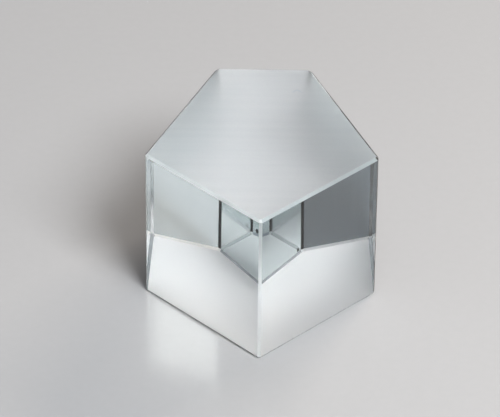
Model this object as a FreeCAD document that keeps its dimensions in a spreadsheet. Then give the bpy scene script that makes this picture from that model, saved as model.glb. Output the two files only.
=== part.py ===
# Penta prism with a 20 mm aperture: one block of optical glass, all sizes in millimetres.
# Seen from above, two polished faces meet at the front corner, a mirrored face runs back
# from each of them, and a plain ground face closes the back. Light that enters one
# polished face is folded off both mirrored faces and leaves square to the other one.
import FreeCAD, Part
import Sketcher
import math
import os
from enum import IntEnum

# Name, value and meaning of each driving dimension.
SIZES = (
    ("face_width", 20.0, "width of each polished face, the full aperture"),
    ("height", 20.0, "from the base to the top face"),
    ("fold_angle", 45.0, "degrees between the two mirrored faces, half the turn of the beam"),
    ("edge_bevel", 0.3, "leg of the flat bevel on each upright edge"),
    ("rim_bevel", 0.3, "leg of the flat bevel round the base and the top face"),
)

# Formulas in the names of the sheet. The front corner makes the beam leave square to the
# glass, and a mirrored face is just long enough for the footprint of a full beam.
HEIGHT = "1 mm * sizes.height"
EXIT_WIDTH = "1 mm * sizes.face_width"
MIRROR_LENGTH = "1 mm * sizes.face_width / cos(1 deg * sizes.fold_angle / 2)"
FRONT_ANGLE = "180 deg - 2 deg * sizes.fold_angle"
SIDE_ANGLE = "90 deg + 1 deg * sizes.fold_angle / 2"
EDGE_BEVEL = "1 mm * sizes.edge_bevel"
RIM_BEVEL = "1 mm * sizes.rim_bevel"


class Axis(IntEnum):
    """A sketch's own numbers for its axes."""

    X = -1
    Y = -2


class Point(IntEnum):
    """A sketch's own numbers for the two points of a line."""

    START = 1
    END = 2


def make_sheet(doc):
    """The sheet of driving dimensions, one row each."""
    sheet = doc.addObject("Spreadsheet::Sheet", "sizes")
    for row, (alias, value, meaning) in enumerate(SIZES, start=1):
        sheet.set(f"A{row}", alias)
        sheet.set(f"B{row}", str(value))
        sheet.setAlias(f"B{row}", alias)
        sheet.set(f"C{row}", meaning)
    doc.recompute()
    return sheet


def plan_corners(sheet):
    """Corners of the plan: front, right side, back right, back left and left side."""
    fold = math.radians(sheet.fold_angle)
    half_width = sheet.face_width * math.cos(fold)
    front = -sheet.face_width * math.sin(fold)
    mirror = sheet.face_width / math.cos(fold / 2)
    back = mirror * math.cos(fold / 2)
    half_back = half_width - mirror * math.sin(fold / 2)
    return [
        FreeCAD.Vector(0, front),
        FreeCAD.Vector(half_width, 0),
        FreeCAD.Vector(half_back, back),
        FreeCAD.Vector(-half_back, back),
        FreeCAD.Vector(-half_width, 0),
    ]


def draw_plan(body, sheet):
    """The five-sided plan. The axes of the entering and leaving beams cross at its origin."""
    plan = body.newObject("Sketcher::SketchObject", "plan")
    ground = next(f for f in body.Origin.OriginFeatures if f.Role == "XY_Plane")
    plan.AttachmentSupport = [(ground, "")]
    plan.MapMode = "FlatFace"

    corners = plan_corners(sheet)
    ends = corners[1:] + corners[:1]
    exit_face, mirror_face, back_face, _, entrance_face = [
        plan.addGeometry(Part.LineSegment(corner, end)) for corner, end in zip(corners, ends)
    ]
    last = entrance_face
    for side in range(len(corners)):
        plan.addConstraint(Sketcher.Constraint("Coincident", last, Point.END, side, Point.START))
        last = side

    # The front corner is on the plane of symmetry, and the side corners are level with the origin.
    for rule in (
        ("PointOnObject", exit_face, Point.START, Axis.Y),
        ("PointOnObject", exit_face, Point.END, Axis.X),
        ("Symmetric", exit_face, Point.END, entrance_face, Point.START, Axis.Y),
        ("Symmetric", back_face, Point.START, back_face, Point.END, Axis.Y),
    ):
        plan.addConstraint(Sketcher.Constraint(*rule))

    # Each value here only starts the solver: the formula beside it holds.
    fold = math.radians(sheet.fold_angle)
    mirror = corners[1].distanceToPoint(corners[2])
    front_ends = (exit_face, Point.START, entrance_face, Point.END)
    side_ends = (mirror_face, Point.START, exit_face, Point.END)
    driven = (
        ("exit_width", ("Distance", exit_face, sheet.face_width), EXIT_WIDTH),
        ("mirror_length", ("Distance", mirror_face, mirror), MIRROR_LENGTH),
        ("front_angle", ("Angle", *front_ends, math.pi - 2 * fold), FRONT_ANGLE),
        ("side_angle", ("Angle", *side_ends, math.pi / 2 + fold / 2), SIDE_ANGLE),
    )
    for name, rule, formula in driven:
        number = plan.addConstraint(Sketcher.Constraint(*rule))
        plan.renameConstraint(number, name)
        plan.setExpression(f"Constraints.{name}", formula)
    return plan


def edge_names(shape, wanted):
    """Names of the edges for which wanted(edge) is true."""
    return [f"Edge{number}" for number, edge in enumerate(shape.Edges, start=1) if wanted(edge)]


def is_upright(edge):
    """True for an edge that runs straight up."""
    return round(abs(edge.Curve.Direction.z), 6) == 1


def is_level(edge):
    """True for an edge that runs round the base or the top face."""
    return round(edge.Curve.Direction.z, 6) == 0


def grind_bevel(body, name, wanted, formula):
    """A flat bevel of equal legs along the wanted edges of the body's last feature."""
    base = body.Tip
    feature = body.newObject("PartDesign::Chamfer", name)
    feature.Base = (base, edge_names(base.Shape, wanted))
    feature.setExpression("Size", formula)
    body.Tip = feature
    body.Document.recompute()
    if feature.Shape.Volume >= base.Shape.Volume:
        raise RuntimeError(f"{name} took nothing off the glass")


def build_prism(doc, sheet):
    """The glass block: the plan raised to its height, with every sharp edge ground off."""
    body = doc.addObject("PartDesign::Body", "penta_prism")
    body.Label = "penta_prism"
    body.Placement = FreeCAD.Placement()
    block = body.newObject("PartDesign::Pad", "block")
    block.Profile = draw_plan(body, sheet)
    block.setExpression("Length", HEIGHT)
    body.Tip = block
    doc.recompute()
    grind_bevel(body, "edge_bevels", is_upright, EDGE_BEVEL)
    grind_bevel(body, "rim_bevels", is_level, RIM_BEVEL)
    return body


def check(doc, parts):
    """Stops the build if an object failed, a sketch can still move or a part isn't one sound solid."""
    failed = [o.Name for o in doc.Objects if "Invalid" in o.State or "Error" in o.State]
    if failed:
        raise RuntimeError(f"failed objects: {failed}")
    loose = [s.Name for s in doc.findObjects("Sketcher::SketchObject") if not s.FullyConstrained]
    if loose:
        raise RuntimeError(f"sketches that can still move: {loose}")
    for part in parts:
        if part.Shape.isNull() or not part.Shape.isValid() or len(part.Shape.Solids) != 1:
            raise RuntimeError(f"{part.Label} isn't one valid solid")


def main():
    doc = FreeCAD.newDocument("penta_prism")
    parts = [build_prism(doc, make_sheet(doc))]
    doc.recompute()
    check(doc, parts)
    os.makedirs("parts", exist_ok=True)
    for part in parts:
        part.Shape.exportStep(f"parts/{part.Label}.step")
        box = part.Shape.BoundBox
        print(
            f"{part.Label}: {box.XLength:.3f} x {box.YLength:.3f} x {box.ZLength:.3f} mm,",
            f"{len(part.Shape.Faces)} faces, {part.Shape.Volume:.2f} mm3",
        )


main()
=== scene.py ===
import bpy
import math
from mathutils import Matrix, Vector


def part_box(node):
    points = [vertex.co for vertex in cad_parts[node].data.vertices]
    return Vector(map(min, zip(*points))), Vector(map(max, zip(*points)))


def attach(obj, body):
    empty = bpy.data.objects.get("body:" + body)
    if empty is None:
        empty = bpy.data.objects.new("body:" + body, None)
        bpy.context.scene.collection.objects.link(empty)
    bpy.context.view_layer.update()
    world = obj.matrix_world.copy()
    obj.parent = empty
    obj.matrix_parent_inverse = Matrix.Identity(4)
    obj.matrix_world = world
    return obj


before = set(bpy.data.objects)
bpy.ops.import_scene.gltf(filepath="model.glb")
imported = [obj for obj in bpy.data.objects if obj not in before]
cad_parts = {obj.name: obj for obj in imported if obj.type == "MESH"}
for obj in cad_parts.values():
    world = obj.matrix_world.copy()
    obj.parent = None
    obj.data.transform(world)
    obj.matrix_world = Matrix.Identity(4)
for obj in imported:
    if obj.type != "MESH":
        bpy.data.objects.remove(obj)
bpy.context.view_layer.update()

# Glass block. The real prism is one piece of crown glass, sawn from a slab, ground to its
# angles and bevelled along every edge. Only the two faces at the front corner are polished
# clear. The two long faces behind them were polished too and then coated with aluminium.
MM = 0.001
CROWN_IOR = 1.5168
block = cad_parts["penta_prism"]

# A Math node's own numbers for its inputs, and a Mix node's for its two colours and their mix.
FIRST, SECOND, THIRD = 0, 1, 2
COLOUR_A, COLOUR_B, MIXED = 6, 7, 2


def linear(hex_colour):
    """An sRGB hex colour as linear red, green, blue and alpha."""
    srgb = [int(hex_colour[i:i + 2], 16) / 255 for i in (1, 3, 5)]
    return [c / 12.92 if c <= 0.04045 else ((c + 0.055) / 1.055) ** 2.4 for c in srgb] + [1.0]


def new_material(name):
    """A material with no nodes yet."""
    material = bpy.data.materials.new(name)
    material.use_nodes = True
    material.node_tree.nodes.clear()
    return material


def add_node(owner, kind, settings=None, links=None):
    """A node in a material or world, with its settings and the sockets that feed its inputs."""
    tree = owner.node_tree
    node = tree.nodes.new(kind)
    for name, value in (settings or {}).items():
        if isinstance(name, int) or name in node.inputs:
            node.inputs[name].default_value = value
        else:
            setattr(node, name, value)
    for name, socket in (links or {}).items():
        tree.links.new(socket, node.inputs[name])
    return node


def lay_grain(material, sizes, detail, roughness=0.5, turn=(0.0, 0.0, 0.0)):
    """A pattern of grains with these sizes in millimetres along X, Y and Z, from 0 to 1."""
    where = add_node(material, "ShaderNodeTexCoord")
    scaled = add_node(
        material, "ShaderNodeMapping",
        {"Rotation": turn, "Scale": [1 / (size * MM) for size in sizes]},
        {"Vector": where.outputs["Object"]},
    )
    noise = add_node(
        material, "ShaderNodeTexNoise", {"Scale": 1.0, "Detail": detail, "Roughness": roughness},
        {"Vector": scaled.outputs["Vector"]},
    )
    return noise.outputs["Fac"]


def finish_material(material, settings, links):
    """Gives the material its Principled shader and its output."""
    shader = add_node(material, "ShaderNodeBsdfPrincipled", settings, links)
    add_node(material, "ShaderNodeOutputMaterial", links={"Surface": shader.outputs["BSDF"]})


# Polished crown glass: clear and flat, so that it reflects like a window. Pitch polishing
# leaves a few hairline sleeks, which only take a little off the gloss. Real ones are a
# hundredth of a millimetre wide and are drawn 0.15 mm wide, or they wouldn't show.
SLEEK_SLANT = (0.3, 0.2, 0.0)
polished = new_material("pitch_polished_crown_glass")
sleeks = lay_grain(polished, (2.5, 2.5, 0.15), detail=1.0, turn=SLEEK_SLANT)
haze = add_node(
    polished, "ShaderNodeMapRange",
    {"From Min": 0.68, "From Max": 0.8, "To Min": 0.0, "To Max": 0.03}, {"Value": sleeks},
)
finish_material(
    polished, {"Base Color": linear("#ffffff"), "IOR": CROWN_IOR, "Transmission Weight": 1.0},
    {"Roughness": haze.outputs["Result"]},
)

# Fine-ground crown glass, lapped with loose grit on an iron plate: an even frosted white that
# glows with the light inside. Grit pits are 0.01 mm, drawn 0.25 mm, and the last strokes of
# the lap leave faint streaks from side to side.
STREAK_SHARE, PIT_SHARE, CLOUD_SHARE = 0.45, 0.35, 0.35
ground = new_material("loose_grit_lapped_glass")
streaks = lay_grain(ground, (22, 0.9, 0.9), detail=3.0)
pits = lay_grain(ground, (0.25, 0.25, 0.25), detail=2.0)
clouds = lay_grain(ground, (6.25, 6.25, 6.25), detail=2.0)
streaked = add_node(
    ground, "ShaderNodeMath", {"operation": "MULTIPLY", SECOND: STREAK_SHARE}, {FIRST: streaks},
)
pitted = add_node(
    ground, "ShaderNodeMath", {"operation": "MULTIPLY_ADD", SECOND: PIT_SHARE},
    {FIRST: pits, THIRD: streaked.outputs["Value"]},
)
mottled = add_node(
    ground, "ShaderNodeMath", {"operation": "MULTIPLY_ADD", SECOND: CLOUD_SHARE},
    {FIRST: clouds, THIRD: pitted.outputs["Value"]},
)
frost = add_node(
    ground, "ShaderNodeMix",
    {"data_type": "RGBA", COLOUR_A: linear("#c5cacf"), COLOUR_B: linear("#e5e6e8")},
    {"Factor": mottled.outputs["Value"]},
)

# A rub mark on the top, like a small arrowhead that points to the back: two strokes, each
# nearly a millimetre long, that meet at its tip and fade at the sides. Sizes in millimetres.
RUB = Vector((4.17, 15.02, 20.0)) * MM
RUB_SLOPE = 0.9
at_rub = add_node(
    ground, "ShaderNodeMapping", {"Location": -RUB / MM, "Scale": (1 / MM, 1 / MM, 1 / MM)},
    {"Vector": add_node(ground, "ShaderNodeTexCoord").outputs["Object"]},
)
split = add_node(ground, "ShaderNodeSeparateXYZ", links={"Vector": at_rub.outputs["Vector"]})
aside = add_node(ground, "ShaderNodeMath", {"operation": "ABSOLUTE"}, {FIRST: split.outputs["X"]})
bent = add_node(
    ground, "ShaderNodeMath", {"operation": "MULTIPLY_ADD", SECOND: RUB_SLOPE},
    {FIRST: aside.outputs["Value"], THIRD: split.outputs["Y"]},
)
off_line = add_node(
    ground, "ShaderNodeMath", {"operation": "ABSOLUTE"}, {FIRST: bent.outputs["Value"]},
)
on_line = add_node(
    ground, "ShaderNodeMapRange",
    {"From Min": 0.05, "From Max": 0.25, "To Min": 1.0, "To Max": 0.0},
    {"Value": off_line.outputs["Value"]},
)
near_tip = add_node(
    ground, "ShaderNodeMapRange",
    {"From Min": 0.4, "From Max": 0.7, "To Min": 0.4, "To Max": 0.0},
    {"Value": aside.outputs["Value"]},
)
rub = add_node(
    ground, "ShaderNodeMath", {"operation": "MULTIPLY"},
    {FIRST: on_line.outputs["Result"], SECOND: near_tip.outputs["Result"]},
)
rubbed_frost = add_node(
    ground, "ShaderNodeMix", {"data_type": "RGBA", COLOUR_B: linear("#a9bccb")},
    {"Factor": rub.outputs["Value"], COLOUR_A: frost.outputs[MIXED]},
)
dull = add_node(
    ground, "ShaderNodeMapRange", {"To Min": 0.4, "To Max": 0.5},
    {"Value": mottled.outputs["Value"]},
)
relief = add_node(
    ground, "ShaderNodeBump", {"Strength": 0.12, "Distance": 0.01 * MM},
    {"Height": mottled.outputs["Value"]},
)
finish_material(
    ground, {"IOR": CROWN_IOR, "Transmission Weight": 0.9},
    {
        "Base Color": rubbed_frost.outputs[MIXED], "Roughness": dull.outputs["Result"],
        "Normal": relief.outputs["Normal"],
    },
)

# The base, lapped the same way and left unpainted. What it stands on closes it, so that from
# above it glows plain white.
ground_base = new_material("loose_grit_lapped_base")
pits = lay_grain(ground_base, (0.4, 0.4, 0.4), detail=3.0)
chalk = add_node(
    ground_base, "ShaderNodeMix",
    {"data_type": "RGBA", COLOUR_A: linear("#f6f7f6"), COLOUR_B: linear("#ffffff")},
    {"Factor": pits},
)
dull = add_node(
    ground_base, "ShaderNodeMapRange", {"To Min": 0.45, "To Max": 0.6}, {"Value": pits},
)
finish_material(
    ground_base, {"IOR": CROWN_IOR},
    {"Base Color": chalk.outputs[MIXED], "Roughness": dull.outputs["Result"]},
)

# The back, taken one grit finer: smooth enough to let what lies behind it through as soft
# patches of light and dark. Its dark blue grey is painted shade that dims what shows through.
lapped_back_with_painted_shade = new_material("finer_lapped_back_glass_with_painted_shade")
streaks = lay_grain(lapped_back_with_painted_shade, (0.67, 0.67, 11), detail=4.0)
# Painted shade: these dark blue greys dim the back as if it lay in shadow.
frost = add_node(
    lapped_back_with_painted_shade, "ShaderNodeMix",
    {"data_type": "RGBA", COLOUR_A: linear("#627786"), COLOUR_B: linear("#708492")},
    {"Factor": streaks},
)
dull = add_node(
    lapped_back_with_painted_shade, "ShaderNodeMapRange",
    {"From Min": 0.3, "From Max": 0.7, "To Min": 0.17, "To Max": 0.24}, {"Value": streaks},
)
finish_material(
    lapped_back_with_painted_shade, {"IOR": CROWN_IOR, "Transmission Weight": 1.0},
    {"Base Color": frost.outputs[MIXED], "Roughness": dull.outputs["Result"]},
)

# Hand-ground bevels: a few strokes on a diamond pad leave a coarse white frost. The ones below
# the mirrored faces are a darker blue grey, and the one above the exit face is greyer: painted
# shade that keeps it from lighting up under the key. The pits are 0.03 mm, drawn 0.29 mm.
bevels = {}
for name, hollows, ridges in (
    ("diamond_pad_bevelled_glass", "#e3ebeb", "#f8fbfb"),
    # The bevels along the base below the mirrored faces: a darker blue grey.
    ("blue_grey_bevel_glass", "#7d8a95", "#9aa5ae"),
    # Painted shade: greyer only so that this bevel doesn't light up under the key.
    ("painted_shade_bevel_glass", "#a9b3b7", "#c0cacd"),
):
    bevel = bevels[name] = new_material(name)
    pits = lay_grain(bevel, (0.29, 0.29, 0.29), detail=3.0)
    frost = add_node(
        bevel, "ShaderNodeMix",
        {"data_type": "RGBA", COLOUR_A: linear(hollows), COLOUR_B: linear(ridges)},
        {"Factor": pits},
    )
    dull = add_node(bevel, "ShaderNodeMapRange", {"To Min": 0.4, "To Max": 0.6}, {"Value": pits})
    relief = add_node(
        bevel, "ShaderNodeBump", {"Strength": 0.2, "Distance": 0.01 * MM}, {"Height": pits},
    )
    finish_material(
        bevel, {"IOR": CROWN_IOR, "Transmission Weight": 0.72},
        {
            "Base Color": frost.outputs[MIXED], "Roughness": dull.outputs["Result"],
            "Normal": relief.outputs["Normal"],
        },
    )

# The upright bevels under the paint, beside the back. Lacquer wets the right one and makes it a
# dark line from inside. On the left one it leaves air in the pits, so that the bevel is as dark
# head on but pale at a slant. Behind both, the step in index is smaller than to air.
PAINTED_IOR = 1.3
covered = {}
for name, dry_share, smoothest, dullest in (
    ("lacquer_wetted_bevel_glass", 0.15, 0.12, 0.2),
    ("lacquer_bridged_bevel_glass", 0.95, 0.12, 0.17),
):
    bevel = covered[name] = new_material(name)
    pits = lay_grain(bevel, (0.45, 0.45, 0.45), detail=2.0)
    ink = add_node(
        bevel, "ShaderNodeMix",
        {"data_type": "RGBA", COLOUR_A: linear("#040506"), COLOUR_B: linear("#14191e")},
        {"Factor": pits},
    )
    dull = add_node(
        bevel, "ShaderNodeMapRange", {"To Min": smoothest, "To Max": dullest}, {"Value": pits},
    )
    finish_material(
        bevel, {"IOR": PAINTED_IOR, "Transmission Weight": dry_share},
        {"Base Color": ink.outputs[MIXED], "Roughness": dull.outputs["Result"]},
    )

# Aluminium evaporated on the polished glass: a mirror from inside, slightly uneven, and greyer
# than aluminium is: painted shade that dims what the mirrors show. A small fleck of it has come
# off low on the left face and shows the black paint behind.
FLECK = Vector((-6.2, 19.1, 0.65)) * MM
FLECK_RADII = Vector((0.25, 0.25, 0.35)) * MM
aluminised = new_material("vacuum_coated_aluminium")
clouds = lay_grain(aluminised, (4.5, 4.5, 4.5), detail=2.0)
# Painted shade: a silver darker than aluminium's own, which dims the mirrored views.
silver_with_painted_shade = add_node(
    aluminised, "ShaderNodeMix",
    {"data_type": "RGBA", COLOUR_A: linear("#d0d8d9"), COLOUR_B: linear("#dae1e2")},
    {"Factor": clouds},
)
at_fleck = add_node(
    aluminised, "ShaderNodeMapping",
    {
        "Location": [-place / radius for place, radius in zip(FLECK, FLECK_RADII)],
        "Scale": [1 / radius for radius in FLECK_RADII],
    },
    {"Vector": add_node(aluminised, "ShaderNodeTexCoord").outputs["Object"]},
)
away = add_node(
    aluminised, "ShaderNodeVectorMath", {"operation": "LENGTH"},
    {"Vector": at_fleck.outputs["Vector"]},
)
kept = add_node(
    aluminised, "ShaderNodeMapRange", {"From Min": 0.85, "From Max": 1.0},
    {"Value": away.outputs["Value"]},
)
film = add_node(
    aluminised, "ShaderNodeMix", {"data_type": "RGBA", COLOUR_A: linear("#08090a")},
    {"Factor": kept.outputs["Result"], COLOUR_B: silver_with_painted_shade.outputs[MIXED]},
)
smooth = add_node(
    aluminised, "ShaderNodeMapRange", {"To Min": 0.015, "To Max": 0.025}, {"Value": clouds},
)
finish_material(
    aluminised, {},
    {
        "Base Color": film.outputs[MIXED], "Metallic": kept.outputs["Result"],
        "Roughness": smooth.outputs["Result"],
    },
)

# Black paint that ran over the bevel between the exit face and its mirror, in streaks down the
# edge and in a spot on each end of it.
edge_paint = new_material("brushed_black_edge_paint")
streaks = lay_grain(edge_paint, (0.2, 0.2, 2), detail=3.0)
ink = add_node(
    edge_paint, "ShaderNodeMix",
    {"data_type": "RGBA", COLOUR_A: linear("#08090a"), COLOUR_B: linear("#1a1b1f")},
    {"Factor": streaks},
)
dull = add_node(
    edge_paint, "ShaderNodeMapRange", {"To Min": 0.4, "To Max": 0.6}, {"Value": streaks},
)
finish_material(
    edge_paint, {}, {"Base Color": ink.outputs[MIXED], "Roughness": dull.outputs["Result"]},
)

# The finish of each face by the direction it faces: right, back and up, to one decimal. A face
# that isn't listed is a plain bevel.
FINISHES = {
    (0, 0, 1): ground,
    (0, 0, -1): ground_base,
    (0, 1, 0): lapped_back_with_painted_shade,
    (0.7, -0.7, 0): polished,
    (-0.7, -0.7, 0): polished,
    (0.9, 0.4, 0): aluminised,
    (-0.9, 0.4, 0): aluminised,
    (0.6, 0.8, 0): covered["lacquer_wetted_bevel_glass"],
    (-0.6, 0.8, 0): covered["lacquer_bridged_bevel_glass"],
    (1, -0.2, 0): edge_paint,
    (0.7, -0.1, 0.7): edge_paint,
    (0.7, -0.1, -0.7): edge_paint,
    (0.7, 0.3, -0.7): bevels["blue_grey_bevel_glass"],
    (-0.7, 0.3, -0.7): bevels["blue_grey_bevel_glass"],
    (0.5, -0.5, 0.7): bevels["painted_shade_bevel_glass"],
}
plain_bevel = bevels["diamond_pad_bevelled_glass"]
slots = [*dict.fromkeys(FINISHES.values()), plain_bevel]
block.data.materials.clear()
for finish in slots:
    block.data.materials.append(finish)
for face in block.data.polygons:
    direction = tuple(round(share, 1) for share in face.normal)
    face.material_index = slots.index(FINISHES.get(direction, plain_bevel))

# Black paint on the two mirrored faces. A coat of matte black lacquer, brushed on by hand over
# the aluminium so that it isn't scratched, and drawn over the bevels beside the back face.
# On the right it also laps over the top edge, which shows as a thin black line.
FOLD = math.radians(45)
BEVEL = 0.3 * MM
FILM_GAP = 0.004 * MM
FILM_THICKNESS = 0.06 * MM
BARE_STRIP = 0.2 * MM
BACK_BEVEL_SHARE = 0.75
CUTS_EACH_WAY = 23
WOBBLE, WOBBLE_SEED = 0.015 * MM, 4
REACH = 0.01 * MM

# The steps of the lap, with how far from the side corner each one starts and ends.
LAP_STEP = 0.075 * MM
LAPS = ((0.2 * MM, 16.5 * MM), (0.2 * MM, 15.0 * MM), (0.8 * MM, 12.0 * MM))

# The back is as far behind the side corners as a polished face is wide.
FACE_WIDTH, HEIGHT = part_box("penta_prism")[1].yz
SIDE_CORNER = Vector((FACE_WIDTH * math.cos(FOLD), 0, 0))
BACK_CORNER = SIDE_CORNER + FACE_WIDTH * Vector((-math.tan(FOLD / 2), 1, 0))

# Matte lacquer: black with a low sheen, in brush strokes along the face, 8 mm long and 0.6 mm
# wide, with ridges that catch the light.
lacquer = new_material("matte_black_lacquer")
bristles = lay_grain(lacquer, (8, 8, 0.6), detail=5.0, roughness=0.6)
sheen = add_node(
    lacquer, "ShaderNodeMapRange",
    {"From Min": 0.3, "From Max": 0.7, "To Min": 0.38, "To Max": 0.62}, {"Value": bristles},
)
tone = add_node(
    lacquer, "ShaderNodeMix",
    {"data_type": "RGBA", COLOUR_A: linear("#07080a"), COLOUR_B: linear("#2c2e32")},
    {"Factor": bristles},
)
relief = add_node(
    lacquer, "ShaderNodeBump", {"Strength": 0.6, "Distance": 0.02 * MM}, {"Height": bristles},
)
finish_material(
    lacquer, {},
    {
        "Base Color": tone.outputs[MIXED], "Roughness": sheen.outputs["Result"],
        "Normal": relief.outputs["Normal"],
    },
)


def pick_edges(piece, wanted):
    """Selects only the edges for whose two ends wanted(point) is true, in the piece's edit mode."""
    bpy.ops.object.mode_set(mode="EDIT")
    bpy.ops.mesh.select_all(action="DESELECT")
    bpy.ops.mesh.select_mode(type="EDGE")
    bpy.ops.object.mode_set(mode="OBJECT")
    points = [piece.matrix_world @ v.co for v in piece.data.vertices]
    for edge in piece.data.edges:
        edge.select = all(wanted(points[i]) for i in edge.vertices)
    bpy.ops.object.mode_set(mode="EDIT")


def fold_out(move):
    """Extrudes the picked edges as a flap."""
    bpy.ops.mesh.extrude_edges_move(TRANSFORM_OT_translate={"value": move})


def coat_face(name, on_left, laps_over_top):
    """A coat on one mirrored face, built on the right and mirrored if it is the left one."""
    along = (BACK_CORNER - SIDE_CORNER).normalized()
    outward = Vector((along.y, -along.x, 0))
    start = SIDE_CORNER + along * (BEVEL + BARE_STRIP) + outward * FILM_GAP
    end = BACK_CORNER - along * BEVEL + outward * FILM_GAP
    foot, head = BEVEL, HEIGHT - BEVEL
    bpy.ops.object.select_all(action="DESELECT")
    bpy.ops.mesh.primitive_plane_add(
        size=1.0, location=(start + end) / 2 + Vector((0, 0, (foot + head) / 2)),
        rotation=(math.pi / 2, 0, math.atan2(along.y, along.x)),
    )
    coat = bpy.context.object
    coat.name = name
    coat.scale = ((end - start).length, head - foot, 1)
    bpy.ops.object.transform_apply(location=True, rotation=True, scale=True)
    bpy.ops.object.mode_set(mode="EDIT")
    bpy.ops.mesh.select_all(action="SELECT")
    bpy.ops.mesh.subdivide(number_cuts=CUTS_EACH_WAY)

    # The flap over the upright bevel beside the back, and the lap over the top edge.
    pick_edges(coat, lambda p: (p - end).xy.length < REACH)
    fold_out((Vector((-BEVEL, 0, 0)) + along * BEVEL) * BACK_BEVEL_SHARE)
    if laps_over_top:
        for step, (lap_start, lap_end) in enumerate(LAPS):
            edge = head + step * LAP_STEP
            pick_edges(
                coat,
                lambda p: abs(p.z - edge) < REACH
                and lap_start < (p - SIDE_CORNER).xy.length < lap_end,
            )
            fold_out((-outward.x * LAP_STEP, -outward.y * LAP_STEP, LAP_STEP))
        bpy.ops.transform.vertex_random(offset=WOBBLE, uniform=0.0, normal=0.0, seed=WOBBLE_SEED)

    if on_left:
        bpy.ops.mesh.select_all(action="SELECT")
        bpy.ops.transform.mirror(constraint_axis=(True, False, False), center_override=(0, 0, 0))
        bpy.ops.mesh.flip_normals()
    bpy.ops.object.mode_set(mode="OBJECT")
    thicken = coat.modifiers.new("thicken", "SOLIDIFY")
    thicken.thickness = FILM_THICKNESS
    thicken.offset = 1.0
    bpy.ops.object.modifier_apply(modifier=thicken.name)
    coat.data.materials.append(lacquer)
    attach(coat, "root")


coat_face("mirror_paint_right", on_left=False, laps_over_top=True)
coat_face("mirror_paint_left", on_left=True, laps_over_top=False)

# Floor: a sheet of board with a pale grey melamine skin, pressed on hot to a satin that shows
# soft reflections. It lies a hair below the base, so that the two don't share a plane.
FLOOR_SIDE = 3.0
FLOOR_DROP = 0.05 * MM
bpy.ops.mesh.primitive_plane_add(size=FLOOR_SIDE, location=(0, 0, -FLOOR_DROP))
floor = bpy.context.object
floor.name = "floor"
sheet = new_material("satin_melamine_sheet")
fibres = lay_grain(sheet, (1.1, 1.1, 1.1), detail=3.0)
paper = add_node(
    sheet, "ShaderNodeMix",
    {"data_type": "RGBA", COLOUR_A: linear("#adaeb0"), COLOUR_B: linear("#b1b2b4")},
    {"Factor": fibres},
)
finish_material(
    sheet, {"Roughness": 0.5, "Coat Weight": 1.0, "Coat Roughness": 0.18},
    {"Base Color": paper.outputs[MIXED]},
)
floor.data.materials.append(sheet)

# Light: a pale backdrop all round and three softboxes. The camera, reflections and the glass
# see the backdrop, but it gives little light itself, so that the softboxes shade the block.
BACKDROP_LIT, BACKDROP_SEEN = 0.04, 0.38
world = bpy.data.worlds.new("studio")
bpy.context.scene.world = world
world.use_nodes = True
backdrop = world.node_tree.nodes["Background"]
backdrop.inputs["Color"].default_value = linear("#f1f4fa")
path = add_node(world, "ShaderNodeLightPath")
seen = path.outputs["Is Camera Ray"]
for ray in ("Is Glossy Ray", "Is Transmission Ray"):
    either = add_node(
        world, "ShaderNodeMath", {"operation": "MAXIMUM"}, {FIRST: seen, SECOND: path.outputs[ray]},
    )
    seen = either.outputs["Value"]
level = add_node(
    world, "ShaderNodeMapRange", {"To Min": BACKDROP_LIT, "To Max": BACKDROP_SEEN}, {"Value": seen},
)
world.node_tree.links.new(level.outputs["Result"], backdrop.inputs["Strength"])

# Softboxes: a key from the front right, a fill from high in front and a warm rim from behind
# on the right, all on stands round the prism and aimed at its middle.
STAND_DISTANCE = 0.7
PRISM_MIDDLE = Vector((0, 0, HEIGHT / 2))


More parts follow.
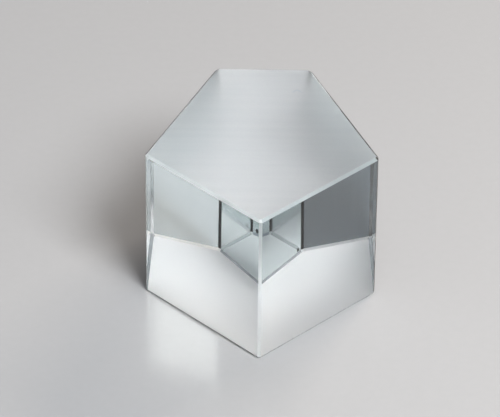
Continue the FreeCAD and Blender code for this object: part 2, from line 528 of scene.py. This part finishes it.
def softbox(name, azimuth, elevation, side, brightness, colour="#ffffff"):
    """A square softbox. Azimuth is in degrees from +Y towards +X, and side is in metres."""
    a, e = math.radians(azimuth), math.radians(elevation)
    towards = Vector((math.sin(a) * math.cos(e), math.cos(a) * math.cos(e), math.sin(e)))
    lamp = bpy.data.lights.new(name, "AREA")
    lamp.shape = "SQUARE"
    lamp.size = side
    lamp.color = linear(colour)[:3]
    lamp.energy = math.pi * side ** 2 * brightness
    holder = bpy.data.objects.new(name, lamp)
    bpy.context.scene.collection.objects.link(holder)
    holder.location = PRISM_MIDDLE + towards * STAND_DISTANCE
    holder.rotation_euler = (-towards).to_track_quat("-Z", "Y").to_euler()


softbox("key_softbox", azimuth=147, elevation=47, side=0.30, brightness=22.5)
softbox("fill_softbox", azimuth=168, elevation=62, side=0.40, brightness=2.6)
softbox("rim_softbox", azimuth=35, elevation=28, side=0.30, brightness=11.3, colour="#fff0e0")

# Camera: a long lens at the place found by fitting the prism's edges to the photograph, 34
# degrees up and close to the plane of symmetry, and aimed at the middle of the prism. Its
# focal length is in pixels of a picture 500 wide.
FOCAL_PIXELS, PICTURE_PIXELS, SENSOR_WIDTH = 3758.12, 500, 36.0
DISTANCE = 22.9826 * FACE_WIDTH
FRONT_CORNER = Vector((0, -FACE_WIDTH * math.sin(FOLD), 0))
AIM = FRONT_CORNER + FACE_WIDTH * Vector((-0.07, 0.85, 0.5221))
AZIMUTH, ELEVATION, ROLL = math.radians(0.4645), math.radians(33.9574), math.radians(0.5613)
camera = bpy.data.cameras.new("camera")
camera.sensor_width = SENSOR_WIDTH
camera.lens = FOCAL_PIXELS * SENSOR_WIDTH / PICTURE_PIXELS
viewer = bpy.data.objects.new("camera", camera)
bpy.context.scene.collection.objects.link(viewer)
turn = (
    Matrix.Rotation(AZIMUTH, 4, "Z")
    @ Matrix.Rotation(math.pi / 2 - ELEVATION, 4, "X")
    @ Matrix.Rotation(ROLL, 4, "Z")
)
viewer.matrix_world = Matrix.Translation(AIM) @ turn @ Matrix.Translation((0, 0, DISTANCE))
bpy.context.scene.camera = viewer

# Light turns back and forth inside the glass many times before it gets out.
GLASS_BOUNCES, MATT_BOUNCES = 32, 16
scene = bpy.context.scene
scene.view_settings.view_transform = "Standard"
scene.cycles.max_bounces = GLASS_BOUNCES
scene.cycles.transmission_bounces = GLASS_BOUNCES
scene.cycles.glossy_bounces = GLASS_BOUNCES
scene.cycles.diffuse_bounces = MATT_BOUNCES
